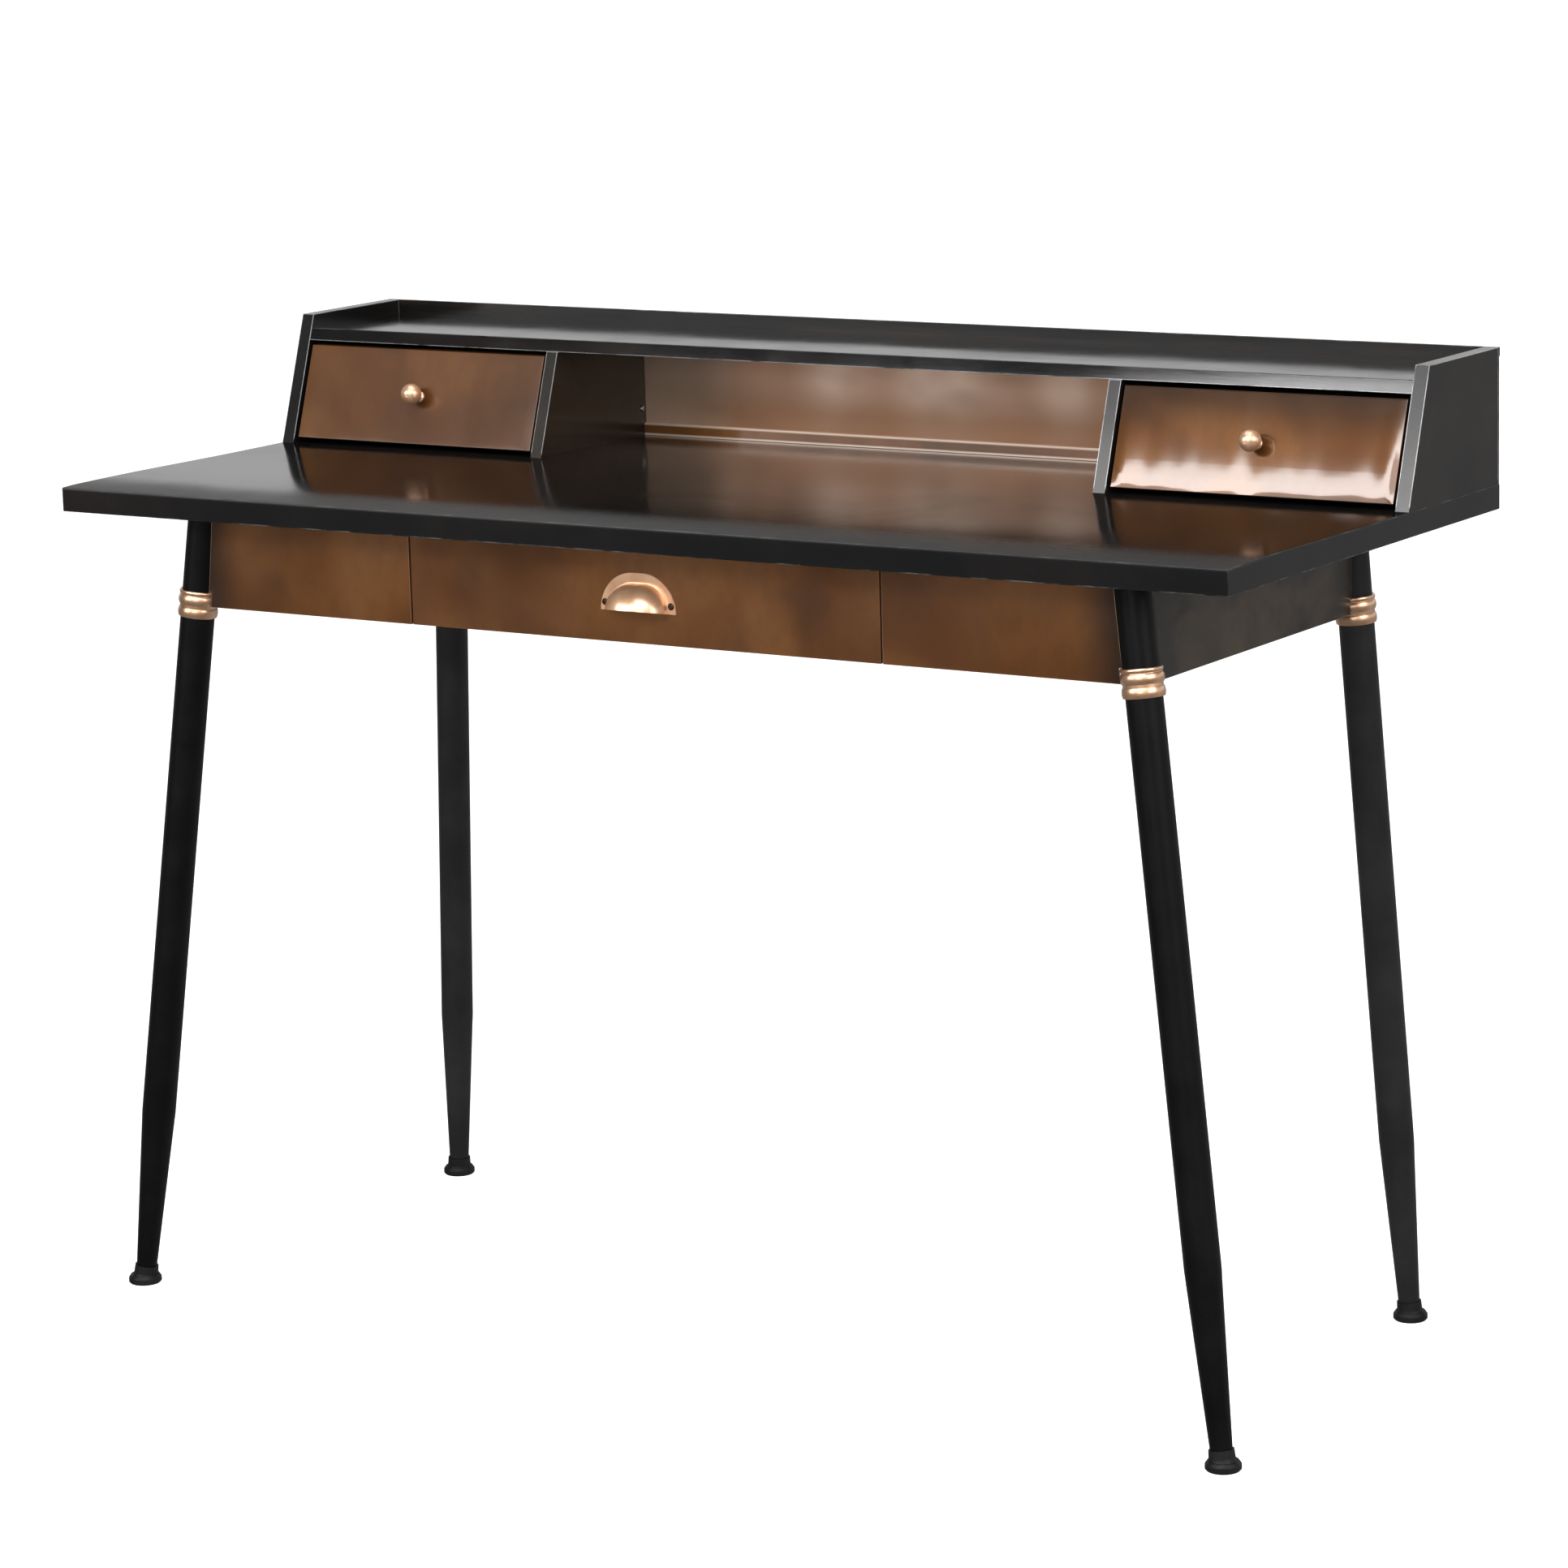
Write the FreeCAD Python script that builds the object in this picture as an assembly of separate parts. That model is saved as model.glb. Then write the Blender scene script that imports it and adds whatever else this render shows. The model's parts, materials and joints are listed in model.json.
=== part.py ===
import FreeCAD, Part
import math
import os

# Writing desk: a metal-clad desktop on four splayed tapered legs, an apron with a
# centre drawer, and a low raked hutch with two small drawers on top.
# Millimetres. +X is the desk's right, the user sits at -Y, +Z is up. The origin is
# on the floor, under the middle of the desktop.

V = FreeCAD.Vector

# ---- driving dimensions ------------------------------------------------------
WIDTH = 1200.0            # desktop, left to right
DEPTH = 510.0             # desktop, front to rear
DESK_Z = 760.0            # top of the desktop above the floor
SLAB = 22.0               # thickness of the desktop
SHEET = 1.2               # folded steel sheet
PLATE = 1.5               # heavier steel sheet and tube wall

HUTCH_H = 120.0           # hutch and gallery above the desktop
HUTCH_FRONT_Y = 73.0      # front edge of the hutch where it meets the desktop
HUTCH_LEAN = 41.0         # how far that edge leans back over the hutch's height
BACK_FACE_Y = 251.5       # front face of the hutch's back sheet
BACK_SHEET = 2.0
LINING = 1.0              # copper-finished sheet in the middle compartment
SIDE_T = 13.0             # hutch side panels
DIVIDER_T = 12.0          # hutch dividers
DIVIDER_X = 301.0         # middle of each divider, from the desk's middle
SHELF_TOP = 107.5         # top of the hutch shelf above the desktop
RAIL_H = 11.5             # raked front rail of that shelf
RAIL_LIP = 14.0           # its return underneath

SMALL_W = 273.0           # small drawer front
SMALL_LOW = 5.5           # bottom of the small fronts above the desktop
SMALL_HIGH = 91.5         # top of the small fronts above the desktop
SMALL_INSET = 2.0         # small fronts stand back from the hutch's front edges
TRAY_D = 12.0             # depth of a folded drawer front
SMALL_BOX_W = 262.0
SMALL_BOX_H = 66.0
SMALL_BOX_REAR = 246.0
SMALL_BOX_LOW = 3.0       # bottom of the small drawer boxes above the desktop

APRON_FRONT_Y = -204.0    # front face of the apron and of the centre drawer
APRON_BACK_Y = 196.5
APRON_SIDE_X = 495.0
APRON_Z = 649.5           # lower edge of the apron
FLANGE = 15.0             # returns of the apron panels
BAY_HALF = 246.0          # half the opening between the two fixed fronts

DRAWER_W = 488.0          # centre drawer front
DRAWER_TOP_GAP = 1.7
BOX_W = 430.0             # centre drawer box
BOX_LOW = 662.0
BOX_H = 60.0
BOX_REAR = 150.0
SLIDE_Z = 690.0           # middle of the telescopic slides
SLIDE_FRONT = -186.0
SLIDE_LEN = 300.0
SLIDE_GAP = 12.7          # room each slide takes between hanger and drawer box

LEG_TOP_X = 490.5         # leg axes at the height LEG_REF_Z
LEG_TOP_Y = {"front": -199.0, "rear": 191.5}
LEG_REF_Z = 660.0
FOOT_X = {"front": 573.4, "rear": 530.1}
FOOT_Y = {"front": -227.6, "rear": 217.7}
LEG_R = 15.75
LEG_END_R = 9.3
TAPER_Z = 168.0           # the legs taper below this height
LEG_LOW = 9.0             # leg tube starts this far up its axis
JOINT_Z = 652.0           # leg meets the stub here, under the collar
PLUG = 12.0               # threaded plugs at that joint
FOOT_R = 15.5             # sole of the plastic glide
FOOT_H = 8.4
FOOT_NECK_R = 11.0        # its neck around the end of the leg
FOOT_NECK_TOP = 17.5
FOOT_PLUG = 16.0          # plug inside the leg
STUD_R = 4.9

KNOB_R = 10.0
KNOB_REACH = 14.0         # middle of the ball in front of the drawer front
KNOB_NECK_R = 3.6
KNOB_BASE_R = 5.6
KNOB_BORE = 9.0           # depth of the knob's screw hole
CLEAR = 0.1               # clearance between parts that are fitted together

PULL_Z = 677.5            # lower edge of the cup pull
PULL_H = 34.0             # height of its flat rim
CUP_R = 26.0              # radius of the cup
LIP_TILT = 11.0           # degrees by which the cup's lower lip rises outwards
PULL_MID = 5.0            # half the straight stretch in the middle of both
PULL_T = 1.6
PULL_SCREW_X = 34.2
PULL_SCREW_UP = 7.0

COLLAR_LOW = 12.2         # collar below and above the joint, along the leg
COLLAR_HIGH = 12.6
COLLAR_R = 18.6           # widest band of the collar
COLLAR_SEAM_R = 17.6      # edges of its three bands
COLLAR_WAIST_R = 17.0     # grooves between them
COLLAR_LOW_BAND = 8.6     # height of each band, from the bottom up
COLLAR_WAIST = 3.0
COLLAR_LIP = 3.8
COLLAR_GROOVE = 0.8

HEM_H = 8.0               # hem along the top of the hutch's back
LEDGE_H = 12.0            # angle at the foot of the compartment's back
LEDGE_D = 3.0
LEDGE_T = 1.0
TAB_HALF = 30.0           # stop tab behind each small drawer box
TAB_GAP = 3.0             # under the shelf
GLIDE_W = 12.0            # nylon strips under the small drawer boxes
GLIDE_X = 106.0           # middle of a strip from the middle of its drawer
GLIDE_INSET = 46.0        # strips start this far behind the drawer front
GLIDE_GAP = 0.3           # above the desktop
HANGER_LOW = 24.0         # slide hangers reach this far below the slides' middle
HANGER_FLANGE = 22.0
OUTER_SLIDE = (9.2, 17.5)   # depth and half height of each slide member
MIDDLE_SLIDE = (7.6, 14.5)
INNER_SLIDE = (6.8, 11.5)
MIDDLE_NEST = 2.6         # middle member stands this far off the hanger

# Screws: radius and length of the shank, radius and height of the head.
UNDER_SCREW = (1.8, 14.0, 3.6, 2.0)
BACK_SCREW = (1.9, 6.0, 3.8, 1.5)
KNOB_SCREW = (2.0, 8.0, 4.0, 2.2)
PULL_SCREW = (1.9, 18.0, 3.1, 1.6)
RIVET = (1.6, 1.2, 3.0, 1.4)
FRONT_SCREW_X = (290.0, 430.0)          # under the fixed fronts
SIDE_SCREW_Y = (-120.0, 0.0, 120.0)     # under the sides of the apron
HANGER_SCREW_Y = (-150.0, 0.0, 140.0)   # under the slide hangers
REAR_SCREW_X = (130.0, 400.0)           # under the back of the apron
HANGER_SCREW_IN = 12.0                  # from the hanger's web
BACK_SCREW_UP = (26.0, 82.0)            # above the desktop
RIVET_UP = 26.0
RIVET_IN = 7.0                          # in front of the hutch's back sheet

# ---- worked out from them ------------------------------------------------------
HALF_W = WIDTH / 2
HALF_D = DEPTH / 2
SLAB_Z = DESK_Z - SLAB
HUTCH_TOP = DESK_Z + HUTCH_H
LEAN = HUTCH_LEAN / HUTCH_H
SKEW = math.sqrt(1 + LEAN * LEAN)
SIDE_IN = HALF_W - SIDE_T
SMALL_X = (SIDE_IN + DIVIDER_X + DIVIDER_T / 2) / 2
HANGER_X = BOX_W / 2 + SLIDE_GAP
RIVET_Y = BACK_FACE_Y - RIVET_IN
RIVET_Z = DESK_Z + RIVET_UP
KNOB_Z = DESK_Z + (SMALL_LOW + SMALL_HIGH) / 2
KNOB_OUT = V(0, -1 / SKEW, LEAN / SKEW)


# ---- shapes --------------------------------------------------------------------
def box(x0, x1, y0, y1, z0, z1):
    return Part.makeBox(x1 - x0, y1 - y0, z1 - z0, V(x0, y0, z0))


def prism_x(outline, x0, x1):
    """Solid between x0 and x1 with the (y, z) outline."""
    points = [V(x0, y, z) for y, z in outline]
    face = Part.Face(Part.makePolygon(points + points[:1]))
    return face.extrude(V(x1 - x0, 0, 0))


def prism_y(outline, y0, y1):
    """Solid between y0 and y1 with the (x, z) outline."""
    points = [V(x, y0, z) for x, z in outline]
    face = Part.Face(Part.makePolygon(points + points[:1]))
    return face.extrude(V(0, y1 - y0, 0))


def turned(outline):
    """Solid of revolution about Z from (radius, height) points."""
    points = [V(r, 0, h) for r, h in outline]
    face = Part.Face(Part.makePolygon(points + points[:1]))
    return face.revolve(V(0, 0, 0), V(0, 0, 1), 360)


def aimed(shape, base, direction):
    """The shape with its Z axis along direction, standing on base."""
    placed = shape.copy()
    placed.Placement = FreeCAD.Placement(base, FreeCAD.Rotation(V(0, 0, 1), direction))
    return placed


def mirrored(shape):
    """The same piece for the desk's other side."""
    return shape.mirror(V(0, 0, 0), V(1, 0, 0))


def both(name, left):
    """A left piece and its mirror image, as two named nodes."""
    return {name + "_left": left, name + "_right": mirrored(left)}


def rake_y(z):
    """Front edge of the hutch at height z."""
    return HUTCH_FRONT_Y + (z - DESK_Z) * LEAN


def screw(sizes, longer=0):
    """Round-headed screw along Z: the head is above 0, the shank below it."""
    shank_r, length, head_r, head_h = sizes
    length += longer
    rise = head_h * 0.45
    head = turned([(0, 0), (head_r, 0), (head_r, rise), (head_r * 0.7, head_h), (0, head_h)])
    shank = Part.makeCylinder(shank_r, length, V(0, 0, -length), V(0, 0, 1))
    return head.fuse(shank)


# ---- desktop ---------------------------------------------------------------------
def desktop_shell():
    """Sheet steel tray, open underneath, that wraps the board."""
    outer = box(-HALF_W, HALF_W, -HALF_D, HALF_D, SLAB_Z, DESK_Z)
    half_w = HALF_W - SHEET
    half_d = HALF_D - SHEET
    return outer.cut(box(-half_w, half_w, -half_d, half_d, SLAB_Z - 1, DESK_Z - SHEET))


def under_screw_spots():
    """Where the apron and the slide hangers are screwed up into the board."""
    side_x = APRON_SIDE_X - FLANGE * 0.6
    front_y = APRON_FRONT_Y + FLANGE * 0.6
    back_y = APRON_BACK_Y - FLANGE * 0.6
    hanger_x = HANGER_X + HANGER_SCREW_IN
    spots = []
    for side in (-1, 1):
        spots += [(side * x, front_y) for x in FRONT_SCREW_X]
        spots += [(side * side_x, y) for y in SIDE_SCREW_Y]
        spots += [(side * hanger_x, y) for y in HANGER_SCREW_Y]
        spots += [(side * x, back_y) for x in REAR_SCREW_X]
    return spots


def drill_up(shape):
    """The shape with clearance holes for the screws under the desktop."""
    radius, length = UNDER_SCREW[:2]
    low = SLAB_Z - 5
    high = SLAB_Z + length + 1
    for x, y in under_screw_spots():
        shape = shape.cut(Part.makeCylinder(radius + CLEAR, high - low, V(x, y, low), V(0, 0, 1)))
    return shape


def desktop_core():
    """Board inside the steel tray."""
    edge = SHEET + CLEAR
    half_w = HALF_W - edge
    half_d = HALF_D - edge
    return drill_up(box(-half_w, half_w, -half_d, half_d, SLAB_Z, DESK_Z - edge))


def under_screws():
    """Screws that hold the apron and the slide hangers under the desktop."""
    down = V(0, 0, -1)
    return Part.makeCompound([
        aimed(screw(UNDER_SCREW), V(x, y, SLAB_Z - SHEET), down) for x, y in under_screw_spots()
    ])


# ---- hutch -------------------------------------------------------------------------
def back_screw_spots():
    """Where the back sheet is screwed to the side panels and dividers."""
    spots = []
    for x in (-HALF_W + SIDE_T / 2, -DIVIDER_X, DIVIDER_X, HALF_W - SIDE_T / 2):
        spots += [(x, DESK_Z + h) for h in BACK_SCREW_UP]
    return spots


def drill_back(shape):
    """The shape with clearance holes for the screws in the hutch's back."""
    radius, length = BACK_SCREW[:2]
    for x, z in back_screw_spots():
        hole = Part.makeCylinder(radius + CLEAR, 2 * length, V(x, BACK_FACE_Y - length, z), V(0, 1, 0))
        shape = shape.cut(hole)
    return shape


def back_screws():
    """Screws through the back sheet."""
    rear = BACK_FACE_Y + BACK_SHEET
    return Part.makeCompound([
        aimed(screw(BACK_SCREW), V(x, rear, z), V(0, 1, 0)) for x, z in back_screw_spots()
    ])


def hutch_side():
    """Left side panel: a flat hollow box of folded sheet with a raked front edge."""
    outline = [
        (rake_y(DESK_Z), DESK_Z),
        (rake_y(HUTCH_TOP), HUTCH_TOP),
        (BACK_FACE_Y, HUTCH_TOP),
        (BACK_FACE_Y, DESK_Z),
    ]
    outer = prism_x(outline, -HALF_W, -SIDE_IN)
    edge = SHEET * SKEW
    low = DESK_Z - 1
    high = HUTCH_TOP - SHEET
    rear = BACK_FACE_Y - SHEET
    hollow = [(rake_y(low) + edge, low), (rake_y(high) + edge, high), (rear, high), (rear, low)]
    return drill_back(outer.cut(prism_x(hollow, -HALF_W + SHEET, -SIDE_IN - SHEET)))


def hutch_divider():
    """Left divider: folded sheet, notched over the lip of the shelf's front rail."""
    rail_low = DESK_Z + SHELF_TOP - RAIL_H
    shelf_low = DESK_Z + SHELF_TOP - PLATE
    notch_y = rake_y(rail_low) + RAIL_LIP
    outline = [
        (rake_y(DESK_Z), DESK_Z),
        (rake_y(rail_low), rail_low),
        (notch_y, rail_low),
        (notch_y, shelf_low),
        (BACK_FACE_Y, shelf_low),
        (BACK_FACE_Y, DESK_Z),
    ]
    near = -DIVIDER_X + DIVIDER_T / 2
    outer = prism_x(outline, near - DIVIDER_T, near)
    edge = SHEET * SKEW
    low = DESK_Z - 1
    high = rail_low - SHEET
    rear = BACK_FACE_Y - SHEET
    hollow = [(rake_y(low) + edge, low), (rake_y(high) + edge, high), (rear, high), (rear, low)]
    panel = outer.cut(prism_x(hollow, near - DIVIDER_T + SHEET, near - SHEET))
    hole_r = RIVET[0] + CLEAR
    rivet_hole = Part.makeCylinder(hole_r, 2 * SHEET, V(near - 1.5 * SHEET, RIVET_Y, RIVET_Z), V(1, 0, 0))
    return drill_back(panel.cut(rivet_hole))


def divider_rivets():
    """Low round rivet heads on the two faces of the middle compartment."""
    near = -DIVIDER_X + DIVIDER_T / 2
    left = aimed(screw(RIVET), V(near, RIVET_Y, RIVET_Z), V(1, 0, 0))
    return Part.makeCompound([left, mirrored(left)])


def hutch_shelf():
    """Shelf on the hutch: one sheet folded into a raked front rail and a lip."""
    top = DESK_Z + SHELF_TOP
    low = top - RAIL_H
    edge = PLATE * SKEW
    lip_y = rake_y(low) + RAIL_LIP - CLEAR
    outline = [
        (rake_y(low), low),
        (rake_y(top), top),
        (BACK_FACE_Y, top),
        (BACK_FACE_Y, top - PLATE),
        (rake_y(top - PLATE) + edge, top - PLATE),
        (rake_y(low + SHEET) + edge, low + SHEET),
        (lip_y, low + SHEET),
        (lip_y, low),
    ]
    return prism_x(outline, -SIDE_IN, SIDE_IN)


def hutch_back():
    """Back sheet of the hutch, with a hem folded back along its top."""
    rear = BACK_FACE_Y + BACK_SHEET
    sheet = box(-HALF_W, HALF_W, BACK_FACE_Y, rear, DESK_Z, HUTCH_TOP)
    hem = box(-HALF_W, HALF_W, rear, HALF_D, HUTCH_TOP - HEM_H, HUTCH_TOP)
    return drill_back(sheet.fuse(hem).removeSplitter())


def compartment_back():
    """Lining of the middle compartment's back wall, between the dividers."""
    half = DIVIDER_X - DIVIDER_T / 2
    return box(-half, half, BACK_FACE_Y - LINING, BACK_FACE_Y, DESK_Z, DESK_Z + SHELF_TOP - PLATE)


def rear_ledge():
    """Small folded angle along the foot of that lining."""
    half = DIVIDER_X - DIVIDER_T / 2
    top = DESK_Z + LEDGE_H
    rear = BACK_FACE_Y - LINING
    front = rear - LEDGE_D
    outline = [
        (front, DESK_Z),
        (front, top),
        (rear, top),
        (rear, top - LEDGE_T),
        (front + LEDGE_T, top - LEDGE_T),
        (front + LEDGE_T, DESK_Z),
    ]
    return prism_x(outline, -half, half)


# ---- small drawers -------------------------------------------------------------------
def small_face_y(z):
    """Front face of a small drawer at height z."""
    return rake_y(z) + SMALL_INSET


def knob_spot():
    """Point of the left small drawer's face that its knob stands on."""
    return V(-SMALL_X, small_face_y(KNOB_Z), KNOB_Z)


def knob_hole():
    """Clearance hole for the knob's screw, through the front and the box."""
    reach = 2 * TRAY_D
    return Part.makeCylinder(KNOB_SCREW[0] + CLEAR, 2 * reach, knob_spot() - KNOB_OUT * reach, KNOB_OUT)


def small_front():
    """Left small drawer front: a raked tray of folded sheet, open behind."""
    low = DESK_Z + SMALL_LOW
    high = DESK_Z + SMALL_HIGH
    half = SMALL_W / 2
    outline = [
        (small_face_y(low), low),
        (small_face_y(high), high),
        (small_face_y(high) + TRAY_D, high),
        (small_face_y(low) + TRAY_D, low),
    ]
    inner_low = low + SHEET
    inner_high = high - SHEET
    edge = SHEET * SKEW
    beyond = TRAY_D + 1
    hollow = [
        (small_face_y(inner_low) + edge, inner_low),
        (small_face_y(inner_high) + edge, inner_high),
        (small_face_y(inner_high) + beyond, inner_high),
        (small_face_y(inner_low) + beyond, inner_low),
    ]
    tray = prism_x(outline, -SMALL_X - half, -SMALL_X + half)
    tray = tray.cut(prism_x(hollow, -SMALL_X - half + SHEET, -SMALL_X + half - SHEET))
    return tray.cut(knob_hole())


def small_box():
    """Left small drawer box, with a tab behind that stops it at the shelf's lip."""
    low = DESK_Z + SMALL_BOX_LOW
    high = low + SMALL_BOX_H
    half = SMALL_BOX_W / 2
    outline = [
        (small_face_y(low) + TRAY_D, low),
        (small_face_y(high) + TRAY_D, high),
        (SMALL_BOX_REAR, high),
        (SMALL_BOX_REAR, low),
    ]
    edge = SHEET * SKEW
    floor = low + SHEET
    over = high + 1
    rear = SMALL_BOX_REAR - SHEET
    hollow = [
        (small_face_y(floor) + TRAY_D + edge, floor),
        (small_face_y(over) + TRAY_D + edge, over),
        (rear, over),
        (rear, floor),
    ]
    tray = prism_x(outline, -SMALL_X - half, -SMALL_X + half)
    tray = tray.cut(prism_x(hollow, -SMALL_X - half + SHEET, -SMALL_X + half - SHEET))
    tab_top = DESK_Z + SHELF_TOP - PLATE - TAB_GAP
    tab = box(-SMALL_X - TAB_HALF, -SMALL_X + TAB_HALF, rear, SMALL_BOX_REAR, high - 2, tab_top)
    return tray.fuse(tab).removeSplitter().cut(knob_hole())


def small_glides():
    """Two nylon strips under the left small drawer box."""
    low = DESK_Z + GLIDE_GAP
    high = DESK_Z + SMALL_BOX_LOW
    front = small_face_y(DESK_Z) + TRAY_D + GLIDE_INSET
    strips = []
    for middle in (-SMALL_X - GLIDE_X, -SMALL_X + GLIDE_X):
        x0 = middle - GLIDE_W / 2
        strips.append(box(x0, x0 + GLIDE_W, front, SMALL_BOX_REAR - GLIDE_W / 2, low, high))
    return Part.makeCompound(strips)


def knob():
    """Round knob on a short neck and a small base."""
    meet = KNOB_REACH - math.sqrt(KNOB_R * KNOB_R - KNOB_NECK_R * KNOB_NECK_R)
    points = [
        (0, 0),
        (KNOB_BASE_R, 0),
        (KNOB_BASE_R, meet * 0.3),
        (KNOB_BASE_R * 0.75, meet * 0.55),
        (KNOB_NECK_R, meet * 0.75),
        (KNOB_NECK_R, meet),
    ]
    line = Part.makePolygon([V(r, 0, h) for r, h in points])
    ball = Part.Arc(
        V(KNOB_NECK_R, 0, meet),
        V(KNOB_R, 0, KNOB_REACH),
        V(0, 0, KNOB_REACH + KNOB_R),
    ).toShape()
    axis = Part.makeLine(V(0, 0, KNOB_REACH + KNOB_R), V(0, 0, 0))
    face = Part.Face(Part.Wire(line.Edges + [ball, axis]))
    body = face.revolve(V(0, 0, 0), V(0, 0, 1), 360)
    body = body.cut(Part.makeCylinder(KNOB_SCREW[0] + CLEAR, KNOB_BORE, V(0, 0, 0), V(0, 0, 1)))
    return aimed(body, knob_spot(), KNOB_OUT)


def knob_screw():
    """Screw that holds the knob, with its head inside the drawer box."""
    depth = (TRAY_D + SHEET * SKEW) / SKEW
    return aimed(screw(KNOB_SCREW, depth), knob_spot() - KNOB_OUT * depth, KNOB_OUT * -1)


# ---- apron ---------------------------------------------------------------------------
def leg_axis(end, z):
    """Point at height z on the axis of the left leg at this end of the desk."""
    t = z / LEG_REF_Z
    x = FOOT_X[end] + (LEG_TOP_X - FOOT_X[end]) * t
    y = FOOT_Y[end] + (LEG_TOP_Y[end] - FOOT_Y[end]) * t
    return V(-x, y, z)


def leg_direction(end):
    return (leg_axis(end, LEG_REF_Z) - leg_axis(end, 0)).normalize()


def along_leg(end, z):
    """Distance along the leg's axis from the floor to height z."""
    return (leg_axis(end, z) - leg_axis(end, 0)).Length


def on_leg(end, shape):
    """A shape made along Z from the floor, laid along the left leg's axis."""
    return aimed(shape, leg_axis(end, 0), leg_direction(end))


def corner_room(end):
    """Room that the stub and the collar take at a left corner of the apron."""
    joint = along_leg(end, JOINT_Z)
    below = joint - 2 * COLLAR_LOW
    reach = along_leg(end, DESK_Z) - below
    tube = Part.makeCylinder(LEG_R + CLEAR, reach, V(0, 0, below), V(0, 0, 1))
    low = joint - COLLAR_LOW - CLEAR
    height = COLLAR_LOW + COLLAR_HIGH + 2 * CLEAR
    ring = Part.makeCylinder(COLLAR_R + CLEAR, height, V(0, 0, low), V(0, 0, 1))
    return on_leg(end, tube.fuse(ring))


def apron_front():
    """Fixed left front between the leg and the drawer: a sheet with returns."""
    top = leg_axis("front", SLAB_Z)
    foot = leg_axis("front", APRON_Z)
    outline = [(foot.x, APRON_Z), (top.x, SLAB_Z), (-BAY_HALF, SLAB_Z), (-BAY_HALF, APRON_Z)]
    panel = prism_y(outline, APRON_FRONT_Y, APRON_FRONT_Y + FLANGE)
    hollow = box(-HALF_W, -BAY_HALF - SHEET, APRON_FRONT_Y + SHEET, 0, APRON_Z + SHEET, SLAB_Z - SHEET)
    return drill_up(panel.cut(hollow).cut(corner_room("front")))


def apron_side():
    """Left side of the apron, between the two legs."""
    outline = []
    for end, z in (("front", APRON_Z), ("front", SLAB_Z), ("rear", SLAB_Z), ("rear", APRON_Z)):
        outline.append((leg_axis(end, z).y, z))
    panel = prism_x(outline, -APRON_SIDE_X, -APRON_SIDE_X + FLANGE)
    hollow = box(-APRON_SIDE_X + SHEET, 0, -HALF_D, HALF_D, APRON_Z + SHEET, SLAB_Z - SHEET)
    panel = panel.cut(hollow)
    return drill_up(panel.cut(corner_room("front")).cut(corner_room("rear")))


def apron_back():
    """Back of the apron, from leg to leg."""
    top = leg_axis("rear", SLAB_Z)
    foot = leg_axis("rear", APRON_Z)
    outline = [(foot.x, APRON_Z), (top.x, SLAB_Z), (-top.x, SLAB_Z), (-foot.x, APRON_Z)]
    panel = prism_y(outline, APRON_BACK_Y - FLANGE, APRON_BACK_Y)
    hollow = box(-HALF_W, HALF_W, 0, APRON_BACK_Y - SHEET, APRON_Z + SHEET, SLAB_Z - SHEET)
    room = corner_room("rear")
    return drill_up(panel.cut(hollow).cut(room).cut(mirrored(room)))


def slide_hanger():
    """Left hanger: a sheet angle under the desktop that carries a slide."""
    front = SLIDE_FRONT - 1
    rear = APRON_BACK_Y - FLANGE - 1
    web = box(-HANGER_X - PLATE, -HANGER_X, front, rear, SLIDE_Z - HANGER_LOW, SLAB_Z)
    flange = box(-HANGER_X - HANGER_FLANGE, -HANGER_X, front, rear, SLAB_Z - SHEET, SLAB_Z)
    return drill_up(web.fuse(flange).removeSplitter())


# ---- centre drawer ---------------------------------------------------------------------
def slide_member(web_x, towards, sizes):
    """Channel of one slide member: its web stands at web_x, its lips point towards -1 or 1."""
    depth, half_h = sizes
    rear = SLIDE_FRONT + SLIDE_LEN
    x0, x1 = sorted((web_x, web_x + towards * depth))
    body = box(x0, x1, SLIDE_FRONT, rear, SLIDE_Z - half_h, SLIDE_Z + half_h)
    low = SLIDE_Z - half_h + SHEET
    high = SLIDE_Z + half_h - SHEET
    x0, x1 = sorted((web_x + towards * SHEET, web_x + towards * (depth + 1)))
    return body.cut(box(x0, x1, SLIDE_FRONT - 1, rear + 1, low, high))


def slide_outer():
    """Left slide member on the hanger."""
    return slide_member(-HANGER_X, 1, OUTER_SLIDE)


def slide_middle():
    """Left slide member that travels half as far as the drawer."""
    return slide_member(-HANGER_X + MIDDLE_NEST, 1, MIDDLE_SLIDE)


def slide_inner():
    """Left slide member on the drawer box."""
    return slide_member(-BOX_W / 2, -1, INNER_SLIDE)


def pull_holes():
    """Holes for the two screws of the cup pull, through the drawer front."""
    holes = []
    reach = 2 * TRAY_D
    for x in (-PULL_SCREW_X, PULL_SCREW_X):
        start = V(x, APRON_FRONT_Y - reach, PULL_Z + PULL_SCREW_UP)
        holes.append(Part.makeCylinder(PULL_SCREW[0] + CLEAR, 2 * reach, start, V(0, 1, 0)))
    return holes


def centre_front():
    """Centre drawer front: a tray of folded sheet, open behind."""
    half = DRAWER_W / 2
    high = SLAB_Z - DRAWER_TOP_GAP
    rear = APRON_FRONT_Y + TRAY_D
    inside = half - SHEET
    tray = box(-half, half, APRON_FRONT_Y, rear, APRON_Z, high)
    tray = tray.cut(box(-inside, inside, APRON_FRONT_Y + SHEET, rear + 1, APRON_Z + SHEET, high - SHEET))
    for hole in pull_holes():
        tray = tray.cut(hole)
    return tray


def centre_box():
    """Centre drawer box, open on top."""
    half = BOX_W / 2
    inside = half - SHEET
    front = APRON_FRONT_Y + TRAY_D
    high = BOX_LOW + BOX_H
    tray = box(-half, half, front, BOX_REAR, BOX_LOW, high)
    tray = tray.cut(box(-inside, inside, front + SHEET, BOX_REAR - SHEET, BOX_LOW + SHEET, high + 1))
    for hole in pull_holes():
        tray = tray.cut(hole)
    return tray


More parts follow.
